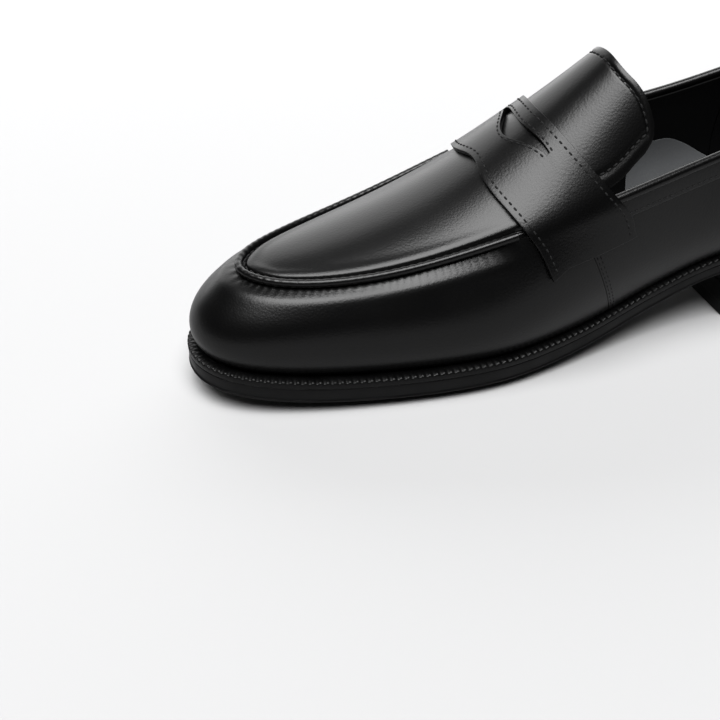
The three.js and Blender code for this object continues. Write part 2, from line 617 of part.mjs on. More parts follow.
// At the rim the strap bridges the crease, so its normal is taken from both sides of it.
function strapNormal(surface, q, x) {
  const spread = 0.05;
  const across = surface(q + spread, x).sub(surface(q - spread, x));
  const lengthwise = surface(q, x + 0.5).sub(surface(q, x - 0.5));
  const normal = lengthwise.cross(across).normalize();
  return normal;
}
const SLOT_R = 0.6; // the share of the strap's width in front of the slot's line
const strapDepth = -(STRAP + 2 * GAP);
const frontStrip = strapStrip(strapFront, slotFront, 0, SLOT_R, 4, strapDepth, STRAP);
const backStrip = strapStrip(slotBack, strapBack, SLOT_R, 1, 3, strapDepth, STRAP);
add("saddle_strap", geometryOf(solidOf(frontStrip).add(solidOf(backStrip))), calf);

// ---------- the part's frame: the middle of its outline on the ground ----------
const outlineBox = new THREE.Box2();
for (let i = 0; i < 800; i++) {
  outlineBox.expandByPoint(new THREE.Vector2(...closedSpline(SOLE_OUTLINE, i / 800)));
}
const middle = outlineBox.getCenter(new THREE.Vector2());
shoe.position.set(-middle.x, -middle.y, -GROUND);

const part = new THREE.Group();
part.add(shoe);
export default part;
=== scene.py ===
"""A black penny loafer for the right foot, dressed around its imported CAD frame.

The surfaces below are the ones that the CAD sheets were cut from, in millimetres: the wall stands
round the foot from the welt to the rim, and the top arches over the instep. Each visible piece is
rebuilt from them with its true edges, seams and stitches, and replaces its plain CAD solid.
"""

import math

import bmesh
import bpy
import numpy as np
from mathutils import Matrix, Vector


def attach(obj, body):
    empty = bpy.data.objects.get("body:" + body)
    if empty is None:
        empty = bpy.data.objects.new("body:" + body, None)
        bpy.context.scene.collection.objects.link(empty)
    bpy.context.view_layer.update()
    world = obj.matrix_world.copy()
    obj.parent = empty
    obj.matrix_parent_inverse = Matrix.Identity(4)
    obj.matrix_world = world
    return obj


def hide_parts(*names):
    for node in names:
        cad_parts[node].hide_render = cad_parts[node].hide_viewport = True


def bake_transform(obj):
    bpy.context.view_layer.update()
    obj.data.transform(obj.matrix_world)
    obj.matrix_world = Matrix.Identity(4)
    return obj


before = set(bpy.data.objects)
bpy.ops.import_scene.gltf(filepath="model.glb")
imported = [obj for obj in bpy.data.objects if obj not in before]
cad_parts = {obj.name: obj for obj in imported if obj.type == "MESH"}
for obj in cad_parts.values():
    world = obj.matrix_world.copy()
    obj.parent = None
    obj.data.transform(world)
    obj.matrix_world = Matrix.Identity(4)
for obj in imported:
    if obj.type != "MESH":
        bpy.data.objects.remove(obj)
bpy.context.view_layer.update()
MM = 0.001

# ---------- the last: the same curves as the CAD part ----------
SOLE_OUTLINE = [
    (153, 0), (148, 24), (122, 35), (85, 33), (45, 34), (5, 43), (-34, 52),
    (-74, 49), (-107, 37), (-135, 24), (-153, 6.5), (-154, -15.5), (-140, -31), (-110, -40),
    (-74, -46), (-34, -50), (5, -41), (45, -32), (85, -31), (122, -34), (148, -24),
]
RIM = [
    (146, 0, 99.5), (142, 19, 98), (120, 27, 92), (86, 29, 83), (48, 31.5, 75), (10, 38, 72), (-24, 38, 60.5),
    (-64, 31, 50.5), (-96, 23, 46.5), (-119, 12, 46.5), (-130, 1, 47), (-130, -9, 47), (-119, -20, 47),
    (-97, -27.5, 47.5), (-66, -32, 50.5), (-26, -36, 60.5), (8, -37.5, 68.5), (48, -31, 75), (86, -28, 82.5),
    (120, -27, 91.5), (142, -19, 98),
]
SOLE_UNDERSIDE = [
    (-155, 6.3), (-130, 3.2), (-105, 1.2), (-80, 0.2), (-50, 0), (-20, 0.6),
    (10, 4), (40, 12), (65, 19), (85, 22.5), (110, 24), (155, 25),
]
SOLE_CROWN = [(-155, 0), (-145, 1.6), (-125, 3), (-80, 3.3), (-20, 3.3), (30, 2.5), (70, 0)]
SOLE_THICKNESS = [(-155, 9.8), (0, 9.8), (60, 8.5), (155, 8.5)]
FEATHER_INSET = [(-155, 4.8), (-60, 4.8), (0, 3.5), (60, 2.8), (155, 3)]
CREST = [
    (-129, 47), (-115, 50), (-95, 53), (-75, 57), (-55, 63), (-35, 72.5), (-15, 85.5), (5, 100), (28, 118),
    (40, 127),
]
FOOT_BULGE = [(-155, 11), (-100, 9), (-40, 9), (20, 9), (80, 10), (120, 8), (155, 7)]
RIM_BULGE = [(-155, 9.5), (-100, 8), (-40, 5), (20, 3), (80, 3), (155, 3.5)]
FOOT_PULL = [(-155, 0.42), (-60, 0.4), (20, 0.38), (155, 0.36)]
RIM_PULL = [(-155, 0.12), (-100, 0.14), (-60, 0.22), (-10, 0.3), (20, 0.34), (155, 0.3)]
STRAP_FRONT = [(0, -29.8), (0.15, -31.2), (0.35, -32.8), (0.5, -32.2), (0.7, -29.8), (1, -24.6), (2, -13)]
STRAP_BACK = [(0, -5.2), (0.4, -2.8), (0.72, 2.4), (1, 12), (2, 22)]
STRAP_END = (0.56, 0.68)  # how far up the wall the sewn end lies, at its front and back corner
SLOT_HALF = 0.54
SLOT_TIP_X = -7.5
SLOT_BACK_X = -12.6
SLOT_FRONT_X = -20.8
TONGUE_HALF = [(5, 0.93), (11.5, 0.93), (17.5, 0.91), (22.5, 0.88), (26.5, 0.86)]
TONGUE_EDGE = [
    (0, 22.3), (0.36, 24.3), (0.49, 26.8), (0.61, 29.2), (0.7, 30.5), (0.77, 31), (0.83, 29.5), (0.86, 26.5),
]
SIDE_SEAM_TOP_X = 2
SIDE_SEAM_SLANT = 0.036
SEAM_REACH = 0.12
SEAM_UPRIGHT_V = 0.72
PANEL_FROM_X = 61
PANEL_TO_X = 100
PANEL_TOP = [(61, 0.52), (69, 0.5), (78, 0.47), (87, 0.35), (97, 0.19), (100, 0.15)]
WELT_LAYER = 3.25  # the welt's share of the sole's thickness, with the gap below it
LEATHER = 1.5


def along(points, x):
    """Smooth curve through (x, value) points, held flat past its ends, for a number or an array."""
    px, py = np.array(points, float).T
    h = np.diff(px)
    rise = np.diff(py) / h
    slope = np.concatenate([rise[:1], (rise[:-1] * h[1:] + rise[1:] * h[:-1]) / (h[1:] + h[:-1]), rise[-1:]])
    x = np.clip(np.asarray(x, float), px[0], px[-1])
    k = np.clip(np.searchsorted(px, x, side="right") - 1, 0, len(h) - 1)
    t = (x - px[k]) / h[k]
    return (
        (2 * t**3 - 3 * t**2 + 1) * py[k]
        + (t**3 - 2 * t**2 + t) * h[k] * slope[k]
        + (3 * t**2 - 2 * t**3) * py[k + 1]
        + (t**3 - t**2) * h[k] * slope[k + 1]
    )


def closed_spline(control, u):
    """Closed uniform cubic B-spline, u from 0 to 1 once round."""
    control = np.array(control, float)
    m = len(control)
    t = np.mod(np.asarray(u, float), 1) * m
    i = np.floor(t).astype(int)
    f = (t - i)[..., None]
    weights = ((1 - f) ** 3, 3 * f**3 - 6 * f**2 + 4, -3 * f**3 + 3 * f**2 + 3 * f + 1, f**3)
    return sum(w * control[(i + k - 1) % m] for k, w in enumerate(weights)) / 6


def mirrored(points):
    """Points given for one side, made to hold on both."""
    return [(-a, b) for a, b in points[:0:-1]] + list(points)


def underside(x):
    return along(SOLE_UNDERSIDE, x)


def welt_top(x):
    return underside(x) + along(SOLE_THICKNESS, x)


def level(value):
    """The same value everywhere, as a function of a place."""
    return lambda at: np.full(np.shape(at), float(value))


def unit(v):
    return v / np.maximum(np.linalg.norm(v, axis=-1, keepdims=True), 1e-9)


def outward(u):
    """Outward unit normal of the sole's outline, in plan."""
    d = closed_spline(SOLE_OUTLINE, u + 0.001) - closed_spline(SOLE_OUTLINE, u - 0.001)
    return unit(np.stack([d[..., 1], -d[..., 0]], -1))


def outline(u, inset):
    return closed_spline(SOLE_OUTLINE, u) - outward(u) * np.asarray(inset, float)[..., None]


def rim_point(u):
    return closed_spline(RIM, u)


def wall(u, v):
    """The wall surface: u runs round the shoe, v from the welt (0) to the rim (1)."""
    u, v = np.broadcast_arrays(np.asarray(u, float), np.asarray(v, float))
    plan = outline(u, along(FEATHER_INSET, closed_spline(SOLE_OUTLINE, u)[..., 0]))
    foot = np.concatenate([plan, (welt_top(plan[..., 0]) + 0.3)[..., None]], -1)
    rim = rim_point(u)
    height = (rim - foot)[..., 2]
    out = np.concatenate([outward(u), np.zeros(u.shape + (1,))], -1)
    x = foot[..., 0]
    lower = foot + out * along(FOOT_BULGE, x)[..., None]
    lower[..., 2] += height * along(FOOT_PULL, x)
    upper = rim + out * along(RIM_BULGE, x)[..., None]
    upper[..., 2] -= height * along(RIM_PULL, x)
    v = v[..., None]
    return (1 - v) ** 3 * foot + 3 * (1 - v) ** 2 * v * lower + 3 * (1 - v) * v**2 * upper + v**3 * rim


SAMPLES = 4000
rim_x = rim_point(np.linspace(0, 1, SAMPLES + 1))[:, 0]
TIP = int(np.argmin(rim_x))
TIP_X = rim_x[TIP]


def rim_at(x, side):
    """Where along u the rim crosses x, on the outer (side 1) or inner (side -1) side of the toe."""
    share = np.linspace(0, 1, SAMPLES + 1)
    outer = np.interp(x, rim_x[: TIP + 1][::-1], share[: TIP + 1][::-1])
    inner = np.interp(x, rim_x[TIP:], share[TIP:])
    return np.where(np.asarray(side) > 0, outer, inner)


def top_height(x, j, zl, zm):
    share = (j + 1) / 2
    arch = along(CREST, x) - (zl + zm) / 2
    return zm + (zl - zm) * share + arch * (1 - np.abs(j) ** 2.1)


def top(x, j):
    """The top surface: x along the shoe, j across it from the inner rim (-1) to the outer (1)."""
    x, j = np.broadcast_arrays(np.asarray(x, float), np.asarray(j, float))
    outer = rim_point(rim_at(x, 1))
    inner = rim_point(rim_at(x, -1))
    y = inner[..., 1] + (outer[..., 1] - inner[..., 1]) * (j + 1) / 2
    return np.stack([x, y, top_height(x, j, outer[..., 2], inner[..., 2])], -1)


def normals(surface, a, b, sign=1.0, step=0.002):
    """Unit normals of a surface at (a, b), by finite differences."""
    da = surface(a + step, b) - surface(a - step, b)
    db = surface(a, b + step) - surface(a, b - step)
    return unit(np.cross(da, db)) * sign


box_u = np.linspace(0, 1, 801)
box_points = closed_spline(SOLE_OUTLINE, box_u)
MIDDLE = (box_points.min(0) + box_points.max(0)) / 2
GROUND = -3.5  # height of the ground below the last's own zero
SHIFT = np.array([-MIDDLE[0], -MIDDLE[1], -GROUND])


# ---------- meshes ----------
def grid_faces(rows, columns, wrap=False):
    faces = []
    for i in range(rows if wrap else rows - 1):
        for j in range(columns - 1):
            a, b = i * columns + j, ((i + 1) % rows) * columns + j
            faces.append((a, b, b + 1, a + 1))
    return faces


def make(name, points, faces, material, body="shoe", slot="upper_leather", replaces=()):
    """A smooth-shaded mesh object from millimetre points, riding on its body."""
    mesh = bpy.data.meshes.new(name)
    mesh.from_pydata(((np.asarray(points) + SHIFT) * MM).tolist(), [], faces)
    mesh.validate()
    mesh.shade_smooth()
    mesh.materials.append(material)
    piece = bpy.data.objects.new(name, mesh)
    bpy.context.collection.objects.link(piece)
    if body:
        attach(piece, body)
    if replaces:
        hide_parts(*replaces)
    return piece


def shell(name, outer, inner, faces, material, edge=0.35, **how):
    """A closed sheet between an outer and an inner set of points, with its edges rounded off."""
    outer = np.asarray(outer).reshape(-1, 3)
    inner = np.asarray(inner).reshape(-1, 3)
    kept, welded = np.unique(np.round(outer, 2), axis=0, return_index=True, return_inverse=True)[1:]
    outer, inner = outer[kept], inner[kept]
    faces = [tuple(int(i) for i in welded.ravel()[list(f)]) for f in faces]
    n = len(outer)
    first = outer[list(faces[len(faces) // 2])]
    away = (outer - inner)[faces[len(faces) // 2][0]]
    if np.dot(np.cross(first[1] - first[0], first[2] - first[0]), away) < 0:
        faces = [f[::-1] for f in faces]
    count = {}
    for f in faces:
        for a, b in zip(f, f[1:] + f[:1]):
            if a != b:
                count[(a, b)] = count.get((a, b), 0) + 1
    sides = [(b, a, a + n, b + n) for (a, b) in count if (b, a) not in count]
    clean = [tuple(dict.fromkeys(f)) for f in faces]
    clean = [f for f in clean if len(f) > 2]
    backs = [tuple(i + n for i in f[::-1]) for f in clean]
    piece = make(name, np.concatenate([outer, inner]), clean + backs + sides, material, **how)
    if edge:
        bevelled(piece, edge)
    return piece


def bevelled(piece, edge):
    bevel = piece.modifiers.new("edge", "BEVEL")
    bevel.width = edge * MM
    bevel.segments = 3
    bevel.limit_method = "ANGLE"
    bevel.angle_limit = math.radians(50)


def wall_shell(name, us, vs, depth, thickness, material, swell=None, edge=0.35, surface=wall, **how):
    """A sheet cut from the wall. swell(u, v) lifts its outer face, in millimetres."""
    u, v = np.meshgrid(us, vs, indexing="ij")
    n = normals(surface, u, v)
    face = surface(u, v)
    lift = swell(u, v) if swell else np.zeros(u.shape)
    outer = face + n * (lift - depth)[..., None]
    inner = face - n * (depth + thickness)
    return shell(name, outer, inner, grid_faces(*u.shape), material, edge, **how)


def resample(points, spacing):
    """Points evenly spaced along a polyline."""
    steps = np.linalg.norm(np.diff(points, axis=0), axis=1)
    run = np.concatenate([[0], np.cumsum(steps)])
    count = max(int(run[-1] / spacing), 2)
    at = np.linspace(0, run[-1], count + 1)
    return np.stack([np.interp(at, run, points[:, k]) for k in range(points.shape[1])], -1)


def sweep(path, normal, profile, closed=False, scale=None):
    """Points of a section (side, up) carried along a path; side is the tangent crossed with the normal."""
    tangent = unit(np.roll(path, -1, 0) - np.roll(path, 1, 0) if closed else np.gradient(path, axis=0))
    side = unit(np.cross(tangent, normal))
    up = np.cross(side, tangent)
    profile = np.asarray(profile, float)
    size = np.ones(len(path)) if scale is None else scale
    return (
        path[:, None, :]
        + side[:, None, :] * (profile[None, :, 0] * size[:, None])[..., None]
        + up[:, None, :] * (profile[None, :, 1] * size[:, None])[..., None]
    )


def tube_faces(rows, columns, closed=False):
    """Faces of a section that closes on itself, capped unless the path closes too."""
    faces = []
    for i in range(rows if closed else rows - 1):
        for j in range(columns):
            a, b = i * columns, ((i + 1) % rows) * columns
            k = (j + 1) % columns
            faces.append((a + j, b + j, b + k, a + k))
    if not closed:
        faces.append(tuple(range(columns)))
        faces.append(tuple(range((rows - 1) * columns, rows * columns))[::-1])
    return faces


def stitch_row(name, path, normal, material, pitch, length, radius, lift, skew=0.0, **how):
    """A row of sunk thread stitches along a path: each a fat dash that dips into the leather at both ends."""
    both = np.concatenate([path, normal], 1)
    points = resample(both, pitch)
    centre = (points[1:, :3] + points[:-1, :3]) / 2
    up = unit(points[1:, 3:] + points[:-1, 3:])
    tangent = unit(points[1:, :3] - points[:-1, :3])
    side = unit(np.cross(tangent, up))
    tangent = unit(tangent + side * skew)
    side = unit(np.cross(tangent, up))
    rings = np.linspace(-1, 1, 7)
    thick = np.sqrt(np.clip(1 - rings**4, 0.02, 1))
    angle = np.linspace(0, 2 * np.pi, 7, endpoint=False)
    verts, faces = [], []
    for c, t, s, n in zip(centre, tangent, side, up):
        base = len(verts)
        for r, w in zip(rings, thick):
            dip = lift - 0.55 * radius * abs(r) ** 3
            for a in angle:
                across, above = radius * w * math.cos(a), dip + radius * w * math.sin(a)
                verts.append(c + t * (r * length / 2) + s * across + n * above)
        faces += [tuple(base + i for i in f) for f in tube_faces(len(rings), len(angle))]
    return make(name, np.array(verts), faces, material, slot="thread", **how)


# ---------- materials ----------
def shader(name):
    material = bpy.data.materials.new(name)
    material.use_nodes = True
    tree = material.node_tree
    return material, tree, tree.nodes["Principled BSDF"]


def node(tree, kind, inputs=None, **settings):
    made = tree.nodes.new(kind)
    for key, value in settings.items():
        setattr(made, key, value)
    for key, value in (inputs or {}).items():
        if isinstance(value, bpy.types.NodeSocket):
            tree.links.new(value, made.inputs[key])
        else:
            made.inputs[key].default_value = value
    return made


def place(tree):
    return node(tree, "ShaderNodeTexCoord").outputs["Object"]


def ramp(tree, source, low, high, start=0.3, end=0.7):
    made = node(tree, "ShaderNodeMapRange", {"Value": source, "From Min": start, "From Max": end})
    made.inputs["To Min"].default_value = low
    made.inputs["To Max"].default_value = high
    return made.outputs["Result"]


def mix(tree, share, a, b):
    made = node(tree, "ShaderNodeMix", {"Factor": share}, data_type="RGBA")
    made.inputs["A"].default_value = (*a, 1)
    made.inputs["B"].default_value = (*b, 1)
    return made.outputs["Result"]


def leather(name, dark, light, rough, grain=1150.0, depth=0.00006, spread=0.025, crease=0.04, shine=0.42):
    """Pebbled leather: small rounded cells, finer pores, soft wrinkles, and a finish that varies a little."""
    material, tree, bsdf = shader(name)
    where = place(tree)
    wobble = node(tree, "ShaderNodeTexNoise", {"Vector": where, "Scale": grain * 0.45, "Detail": 2.0})
    shaken = node(
        tree, "ShaderNodeMix", {"Factor": 0.0008, "A": where, "B": wobble.outputs["Color"]},
        data_type="VECTOR",
    )
    cells = node(
        tree,
        "ShaderNodeTexVoronoi",
        {"Vector": shaken.outputs["Result"], "Scale": grain, "Smoothness": 0.6},
        feature="SMOOTH_F1",
    )
    pores = node(tree, "ShaderNodeTexNoise", {"Vector": where, "Scale": grain * 2.6, "Detail": 2.0})
    folds = node(
        tree, "ShaderNodeTexNoise", {"Vector": where, "Scale": 46.0, "Detail": 5.0, "Roughness": 0.55}
    )
    tone = node(tree, "ShaderNodeTexNoise", {"Vector": where, "Scale": 19.0, "Detail": 3.0})
    fine = node(
        tree, "ShaderNodeBump", {"Height": pores.outputs["Fac"], "Strength": 0.25, "Distance": depth * 0.5}
    )
    pebble = node(
        tree,
        "ShaderNodeBump",
        {"Height": cells.outputs["Distance"], "Strength": 0.8, "Distance": depth,
         "Normal": fine.outputs["Normal"]},
        invert=True,
    )
    soft = node(
        tree,
        "ShaderNodeBump",
        {"Height": folds.outputs["Fac"], "Strength": crease, "Distance": 0.0006,
         "Normal": pebble.outputs["Normal"]},
    )
    tree.links.new(soft.outputs["Normal"], bsdf.inputs["Normal"])
    tree.links.new(mix(tree, ramp(tree, tone.outputs["Fac"], 0, 1), dark, light), bsdf.inputs["Base Color"])
    tree.links.new(ramp(tree, tone.outputs["Fac"], rough - spread, rough + spread), bsdf.inputs["Roughness"])
    bsdf.inputs["Specular IOR Level"].default_value = shine
    return material


def lined(name, dark, light, rough, spacing, depth):
    """A trimmed and inked edge: fine lines that run along it, over a mottled tone."""
    material, tree, bsdf = shader(name)
    where = place(tree)
    bent = node(tree, "ShaderNodeTexNoise", {"Vector": where, "Scale": 90.0, "Detail": 3.0})
    split = node(tree, "ShaderNodeSeparateXYZ", {"Vector": where})
    along_x = node(tree, "ShaderNodeMath", {0: split.outputs[0], 1: 0.02}, operation="MULTIPLY")
    height = node(tree, "ShaderNodeCombineXYZ", {"X": along_x.outputs[0], "Z": split.outputs[2]})
    lines = node(
        tree, "ShaderNodeTexNoise", {"Vector": height.outputs[0], "Scale": 1 / spacing, "Detail": 4.0}
    )
    rough_bump = node(
        tree, "ShaderNodeBump", {"Height": bent.outputs["Fac"], "Strength": 0.3, "Distance": depth}
    )
    bump = node(
        tree,
        "ShaderNodeBump",
        {"Height": lines.outputs["Fac"], "Strength": 0.7, "Distance": depth,
         "Normal": rough_bump.outputs["Normal"]},
    )
    tree.links.new(bump.outputs["Normal"], bsdf.inputs["Normal"])
    tree.links.new(mix(tree, ramp(tree, lines.outputs["Fac"], 0, 1), dark, light), bsdf.inputs["Base Color"])
    tree.links.new(ramp(tree, bent.outputs["Fac"], rough - 0.08, rough + 0.1), bsdf.inputs["Roughness"])
    bsdf.inputs["Specular IOR Level"].default_value = 0.25
    return material


def speckled(name, dark, light, rough, scale, depth, metal=0.0):
    """A plain stuff with grains or fibres: cork, felt, foam, board, thread or steel."""
    material, tree, bsdf = shader(name)
    where = place(tree)
    grains = node(tree, "ShaderNodeTexVoronoi", {"Vector": where, "Scale": scale})
    tone = node(tree, "ShaderNodeTexNoise", {"Vector": where, "Scale": scale * 0.4, "Detail": 4.0})
    bump = node(
        tree, "ShaderNodeBump", {"Height": grains.outputs["Distance"], "Strength": 0.5, "Distance": depth}
    )
    tree.links.new(bump.outputs["Normal"], bsdf.inputs["Normal"])
    tree.links.new(mix(tree, ramp(tree, tone.outputs["Fac"], 0, 1), dark, light), bsdf.inputs["Base Color"])
    bsdf.inputs["Roughness"].default_value = rough
    bsdf.inputs["Metallic"].default_value = metal
    return material


calf = leather("calf", (0.0008, 0.0008, 0.0009), (0.0016, 0.0016, 0.0017), 0.33, depth=0.00004)
lining = leather("lining", (0.0012, 0.0012, 0.0013), (0.0024, 0.0024, 0.0026), 0.65, grain=1500,
                 depth=0.00004, shine=0.12)
sock = leather("sock", (0.13, 0.134, 0.138), (0.16, 0.164, 0.168), 0.55, grain=900, depth=0.00003, crease=0.2)
rubber = lined("sole_edge", (0.002, 0.002, 0.0022), (0.004, 0.004, 0.0043), 0.45, 0.0006, 0.00012)
welt_ink = lined("welt_ink", (0.0016, 0.0016, 0.0017), (0.0036, 0.0036, 0.0038), 0.4, 0.0005, 0.00008)
heel_stack = lined("heel_stack", (0.003, 0.003, 0.0032), (0.006, 0.0058, 0.0058), 0.4, 0.0009, 0.0001)
thread = speckled("thread", (0.003, 0.003, 0.003), (0.008, 0.008, 0.0085), 0.8, 2600, 0.00008)
board = speckled("board", (0.42, 0.25, 0.11), (0.55, 0.35, 0.17), 0.85, 1400, 0.00006)
cork = speckled("cork", (0.18, 0.08, 0.03), (0.36, 0.19, 0.08), 0.92, 420, 0.0003)
felt = speckled("felt", (0.2, 0.19, 0.175), (0.32, 0.31, 0.29), 0.95, 1800, 0.00015)
foam = speckled("foam", (0.022, 0.022, 0.025), (0.045, 0.045, 0.05), 0.95, 1500, 0.0002)
steel = speckled("steel", (0.5, 0.51, 0.53), (0.62, 0.63, 0.65), 0.32, 700, 0.00002, metal=1.0)


# ---------- sole unit ----------
def outsole():
    """The rubber sole: a rounded edge with a fine moulded line near its lower lip, and a smooth underside."""
    us = np.linspace(0, 1, 361)[:-1]
    x = closed_spline(SOLE_OUTLINE, us)[:, 0]
    thick = along(SOLE_THICKNESS, x) - WELT_LAYER
    # (inset, share of the thickness from the underside), from the top's middle round to the underside
    section = [(9, 1.0), (4, 1.0), (0.6, 1.0), (0.3, 0.99), (0.22, 0.9), (0.3, 0.5), (0.42, 0.24),
               (0.4, 0.19), (0.1, 0.16), (0.0, 0.11), (0.12, 0.05), (0.8, 0.0), (4, 0.0), (9, 0.0)]
    rings = []
    for inset, share in section:
        plan = outline(us, np.full(us.shape, inset))
        rings.append(np.concatenate([plan, (underside(plan[:, 0]) + share * thick)[:, None]], -1))
    points = np.stack(rings, 1)
    rows, columns = points.shape[:2]
    faces = grid_faces(rows, columns, wrap=True)
    verts = points.reshape(-1, 3).tolist()
    for column, height in ((0, rubber_top), (columns - 1, underside)):
        faces += lid(verts, [i * columns + column for i in range(rows)], height)
    verts = crowned(np.array(verts))
    piece = make("sole_rubber", verts, faces, rubber, slot="sole_rubber", replaces=["outsole"])
    outward_faces(piece)
    return piece


def crowned(verts):
    """Lets the sole's underside bulge down towards its middle."""
    plan = closed_spline(SOLE_OUTLINE, box_u)
    toe = int(np.argmin(plan[:, 0]))
    halves = [plan[: toe + 1][::-1], plan[toe:]]
    edges = [np.interp(verts[:, 0], half[:, 0], half[:, 1]) for half in halves]
    low, high = np.minimum(*edges), np.maximum(*edges)
    across = np.clip((verts[:, 1] - low) / np.maximum(high - low, 1), 0, 1)
    below = np.abs(verts[:, 2] - underside(verts[:, 0])) < 0.02
    verts[:, 2] -= below * along(SOLE_CROWN, verts[:, 0]) * (1 - np.abs(2 * across - 1) ** 3)
    return verts


def rubber_top(x):
    return underside(x) + (along(SOLE_THICKNESS, x) - WELT_LAYER)


def lid(verts, ring, height, steps=8):
    """Closes a ring of the outline with strips across the sole, one between each pair of facing points."""
    faces = []
    previous = None
    for k in range(len(ring) // 2 + 1):
        a, b = ring[k % len(ring)], ring[-k % len(ring)]
        row = [a]
        if a != b:
            pa, pb = np.array(verts[a]), np.array(verts[b])
            for s in range(1, steps):
                p = pa + (pb - pa) * s / steps
                row.append(len(verts))
                verts.append([p[0], p[1], float(height(p[0]))])
            row.append(b)
        if previous is None:
            previous = row
            continue
        if len(previous) == 1:
            faces += [(previous[0], row[i], row[i + 1]) for i in range(len(row) - 1)]
        elif len(row) == 1:
            faces += [(previous[i], row[0], previous[i + 1]) for i in range(len(previous) - 1)]
        else:
            faces += [(previous[i], row[i], row[i + 1], previous[i + 1]) for i in range(len(row) - 1)]
        previous = row
    return faces


def outward_faces(piece):
    made = bmesh.new()
    made.from_mesh(piece.data)
    bmesh.ops.recalc_face_normals(made, faces=made.faces)
    made.to_mesh(piece.data)
    made.free()
    piece.data.shade_smooth()


def welt():
    """The welt: a ledge round the upper whose outer top edge is nicked by a hot wheel."""
    pitch = 2.9
    us = np.linspace(0, 1, 6 * 320 + 1)[:-1]
    plan = closed_spline(SOLE_OUTLINE, us)
    run = np.concatenate([[0], np.cumsum(np.linalg.norm(np.diff(plan, axis=0), axis=1))])
    wave = 0.5 + 0.5 * np.cos(2 * np.pi * run / pitch)
    tooth = np.clip(wave * 1.5 - 0.25, 0, 1)
    # (inset, height above the welt's top, how deep the wheel bites), round the section
    section = [(14, -0.6, 0), (5.6, -0.6, 0), (4.4, -0.25, 0), (3.6, -0.05, 0), (2.2, 0.05, 0.25),
               (1.1, 0, 1.0), (0.45, -0.2, 0.9), (0.14, -0.6, 0.35), (0.1, -1.3, 0), (0.14, -2.9, 0),
               (0.25, -3.15, 0), (0.6, -3.2, 0), (14, -3.2, 0)]
    rings = []
    for inset, height, nick in section:
        deep = nick * (1 - tooth) * 0.5
        p = outline(us, inset + deep * (0.5 if inset < 1 else 0))
        rings.append(np.concatenate([p, (welt_top(p[:, 0]) + height - deep)[:, None]], -1))
    points = np.stack(rings, 1)
    rows, columns = points.shape[:2]
    faces = tube_faces(rows, columns, closed=True)
    piece = make("welt_ledge", points.reshape(-1, 3), faces, welt_ink, slot="welt_leather", replaces=["welt"])
    outward_faces(piece)
    return piece


def heel_piece(name, node_name, inset, low, high, material, slot, breast):
    """One layer of the heel: a D in plan with a straight breast, its edges softened."""
    us = np.linspace(-0.2, 0.2, 161)
    plan = outline(us, np.full(us.shape, inset))
    plan = plan[plan[:, 0] > breast]
    plan = np.concatenate([[[breast, plan[0, 1]]], plan, [[breast, plan[-1, 1]]]])
    middle = np.stack([np.full(9, breast), np.linspace(plan[-1, 1], plan[0, 1], 11)[1:-1]], -1)
    plan = np.concatenate([plan, middle])
    n = len(plan)
    lows = np.concatenate([plan, low(plan[:, 0])[:, None]], -1)
    highs = np.concatenate([plan, high(plan[:, 0])[:, None]], -1)
    faces = [(i, (i + 1) % n, n + (i + 1) % n, n + i) for i in range(n)]
    faces += [tuple(range(n))[::-1], tuple(range(n, 2 * n))]
    piece = make(name, np.concatenate([lows, highs]), faces, material, slot=slot, replaces=[node_name])
    outward_faces(piece)
    bevelled(piece, 0.35)
    piece.data.set_sharp_from_angle(angle=math.radians(45))
    return piece


def heel():
    heel_piece("heel_tip", "heel_top_piece", 2.0, level(GROUND), level(GROUND + 6), rubber, "sole_rubber", 79)
    heel_piece(
        "heel_layer_low", "heel_lift_lower", 1.6, level(GROUND + 6.3), level(GROUND + 15.5), heel_stack,
        "welt_leather", 78,
    )
    heel_piece(
        "heel_layer_high", "heel_lift_upper", 1.1, level(GROUND + 15.8), lambda x: underside(x) - 0.3,
        heel_stack, "welt_leather", 78,
    )


# ---------- upper ----------
SEAM_OUTER = float(rim_at(SIDE_SEAM_TOP_X, 1))
SEAM_INNER = float(rim_at(SIDE_SEAM_TOP_X, -1))
SEAM_GAP = 0.0001
GATHER_END_X = -21.5  # the gathers under the apron's bead fade out over GATHER_FADE in front of here
GATHER_FADE = 12


def leaning_wall(u, v):
    """The wall, with its upright lines leaning near the side seams as the seams do."""
    near_inner = np.maximum(0, 1 - np.abs(u - SEAM_INNER) / SEAM_REACH)
    near_outer = np.maximum(0, 1 - np.abs(u - SEAM_OUTER) / SEAM_REACH)
    return wall(u + SIDE_SEAM_SLANT * (SEAM_UPRIGHT_V - v) * (near_inner - near_outer), v)


def arc_length(us):
    points = wall(us, np.ones(us.shape))
    return np.concatenate([[0], np.cumsum(np.linalg.norm(np.diff(points, axis=0), axis=1))])


